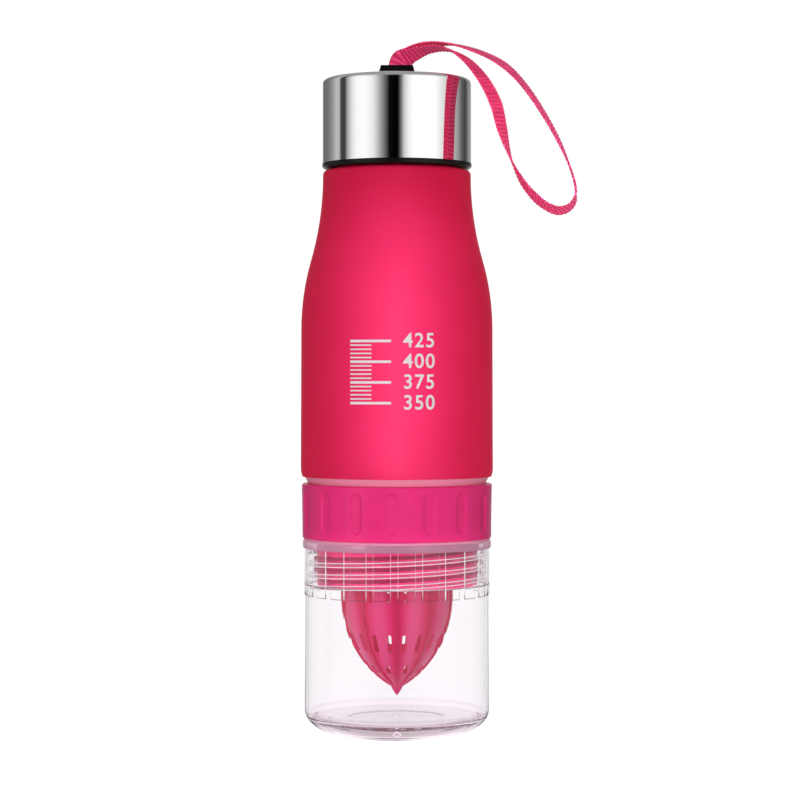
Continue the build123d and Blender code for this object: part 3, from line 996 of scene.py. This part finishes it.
def softbox(name, place, aim, size, power, colour=(1, 1, 1), glints=(), only=(), spread=180):
    """A soft light. It shows as a glint, or falls at all, only on the pieces that are given."""
    light = bpy.data.lights.new(name, "AREA")
    light.shape = "RECTANGLE"
    light.size, light.size_y = size
    light.energy = power
    light.color = colour
    light.spread = radians(spread)
    lamp = bpy.data.objects.new(name, light)
    bpy.context.scene.collection.objects.link(lamp)
    lamp.location = place
    lamp.rotation_euler = facing(place, aim)
    lamp.visible_camera = False
    lamp.visible_transmission = False
    lamp.visible_glossy = bool(glints)
    if glints or only:
        lamp.light_linking.receiver_collection = bpy.data.collections.new(name)
        for piece in glints or only:
            lamp.light_linking.receiver_collection.objects.link(piece)


def studio_lights(clear_pieces, body, printed, grip, inside, strap):
    """Two softboxes light the whole bottle. Each of the others is for the pieces that it names."""
    cup, collar = clear_pieces[0], grip[0]
    middle = (0, 0, 0.13)
    softbox("front_softbox", (0, -1.3, 0.35), middle, (0.7, 1.2), 1.2)
    softbox("top_softbox", (0, 0, 1.3), middle, (1.6, 1.6), 1.0)
    near, ahead = (0, -0.115, 0.135), (0, 0, 0.135)
    softbox("near_softbox", near, ahead, (0.01, 0.113), 0.0110, only=[body], spread=54)
    softbox("near_strip", near, ahead, (0.03, 0.107), 0.0315, (0.0, 1.0, 0.84), only=[body], spread=44)
    for side, power in ((-1, 0.0098), (1, 0.0125)):
        softbox(
            f"side_softbox_{side + 2}", (side * 0.7, 0.06, 0.1), (0, 0, 0.115), (0.1, 0.1), power,
            only=[body, cup], spread=22,
        )
    softbox("print_softbox", (0, -0.8, 0.13), middle, (0.4, 0.4), 2.2, only=printed)
    softbox("grip_softbox", (0, -0.8, 0.08), (0, 0, 0.08), (0.4, 0.4), 4.8, only=grip)
    softbox("grip_glint", (-0.8, -0.75, 0.2), middle, (0.25, 0.8), 1.2, glints=[collar])
    low, under = (0, -0.4, 0.0585), (0, 0, 0.0585)
    softbox("skirt_softbox", low, under, (0.075, 0.014), 0.0064, only=[collar], spread=4)
    softbox("strap_softbox", (0.2, -0.9, 0.2), (0.06, 0, 0.195), (0.1, 0.1), 0.044, only=[strap], spread=14)
    softbox("strap_fill", (-0.55, -0.65, 0.22), (0.04, 0, 0.2), (0.4, 0.4), 2.3, only=[strap])
    softbox("inside_softbox", (0, -0.8, 0.05), (0, 0, 0.05), (0.4, 0.4), 3.4, only=[inside])
    softbox("inner_glow", (0, 0, 0.066), (0, 0, 0), (0.02, 0.02), 0.004, only=[inside])
    softbox("left_glint", (-0.8, -0.75, 0.3), middle, (0.25, 1.0), 4, glints=clear_pieces)
    softbox("right_glint", (0.55, -0.9, 0.3), middle, (0.2, 1.0), 1.5, glints=clear_pieces)


# Camera: 0.9 m in front of the bottle, at half its height and looking slightly down

camera_place = (1.13 * mm, -0.9, 130.4 * mm)
camera_aim = (1.13 * mm, 0, 121.25 * mm)
camera_lens = 111.1
camera_sensor = 36.0


def photo_camera():
    """The camera that sees the bottle as the photo does."""
    camera = bpy.data.cameras.new("camera")
    camera.lens = camera_lens
    camera.sensor_width = camera_sensor
    camera.clip_start = 0.01
    holder = bpy.data.objects.new("camera", camera)
    bpy.context.scene.collection.objects.link(holder)
    holder.location = camera_place
    holder.rotation_euler = facing(camera_place, camera_aim)
    bpy.context.scene.camera = holder


# Making the bottle

def dress(node, material):
    """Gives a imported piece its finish."""
    for holder in nodes[node].material_slots:
        holder.material = material


photo_camera()
strap = woven_strap(woven_pink())

clear = clear_plastic()
# The paint of glints on the cup's panel edges and thread edges
edge = clear_edge()
pink = moulded_pink()
juicer = juicer_pink()
black = black_plastic()
body_pink = soft_touch_pink()
silicone = pale_silicone()

cup = clear_cup(clear, edge, clear_bead(), clear_plastic("clear_base", (0.93, 0.82, 0.86, 1)))
collar = grip_collar(pink)
dress("reamer", juicer)
dress("bottle_body", body_pink)
dress("cap_shell", mirror_steel())
for node in ("cup_seal", "body_seal", "cap_seal"):
    dress(node, silicone)
for node in ("cap_liner", "strap_anchor"):
    dress(node, black)

beside_front = radians(-115)
turn_screw = dict(lead=8.1 * mm, starts=2)
cup_screw = dict(turn_screw, front_level=55.6 * mm, turns=1.5, first_turn=radians(-160))
upper_screw = dict(turn_screw, turns=1.0, first_turn=beside_front)
cap_screw = dict(lead=4.0 * mm, starts=1, turns=2.5, first_turn=beside_front)
lower_ridge = dict(root=1.6 * mm, tip=0.9 * mm)
upper_ridge = dict(root=1.5 * mm, tip=0.8 * mm)
cap_ridge = dict(root=1.6 * mm, tip=0.8 * mm)
cup_ridge_root = 1.0 * mm

clear_ridge = clear_plastic("clear_ridge", (0.72, 0.60, 0.66, 1))
cup_ridges = thread(
    "cup_thread", "cup", clear_ridge, "clear_cup", cup_thread_bore, -1.9 * mm,
    root=cup_ridge_root, tip=0.7 * mm, sink=clear_ridge_sink, **cup_screw,
)
# Strips along the cup thread's edges that carry painted glints
thread_edges(
    "cup_thread_glint_strips", "cup", edge, "clear_cup", cup_thread_bore,
    root=cup_ridge_root, width=0.36 * mm, **cup_screw,
)
thread(
    "collar_lower_thread", "collar", pink, "pink_collar", lower_skirt_radius, 1.4 * mm,
    front_level=57.625 * mm, turns=1.5, first_turn=radians(-165), **lower_ridge, **turn_screw,
)
thread(
    "collar_upper_thread", "collar", pink, "pink_collar", upper_skirt_radius, 1.4 * mm,
    front_level=94.2 * mm, **upper_ridge, **upper_screw,
)
thread(
    "body_thread", "bottle", body_pink, "pink_body", body_bore, -1.4 * mm,
    front_level=96.225 * mm, **upper_ridge, **upper_screw,
)
thread(
    "neck_thread", "bottle", body_pink, "pink_body", neck_radius, 1.5 * mm,
    front_level=neck_top - 11.6 * mm, **cap_ridge, **cap_screw,
)
thread(
    "liner_thread", "cap", black, "black_liner", liner_bore, -1.5 * mm,
    front_level=neck_top - 13.6 * mm, **cap_ridge, **cap_screw,
)

printed = level_scale(white_ink())
studio_floor(pale_floor())
studio_surround()
studio_lights(
    [cup, cup_ridges, nodes["reamer"]], nodes["bottle_body"], printed,
    [collar, nodes["body_seal"], nodes["cup_seal"]], nodes["reamer"], strap,
)
bpy.context.scene.view_settings.view_transform = "Standard"
cycles = bpy.context.scene.cycles
cycles.max_bounces = 32
cycles.glossy_bounces = cycles.transmission_bounces = 24
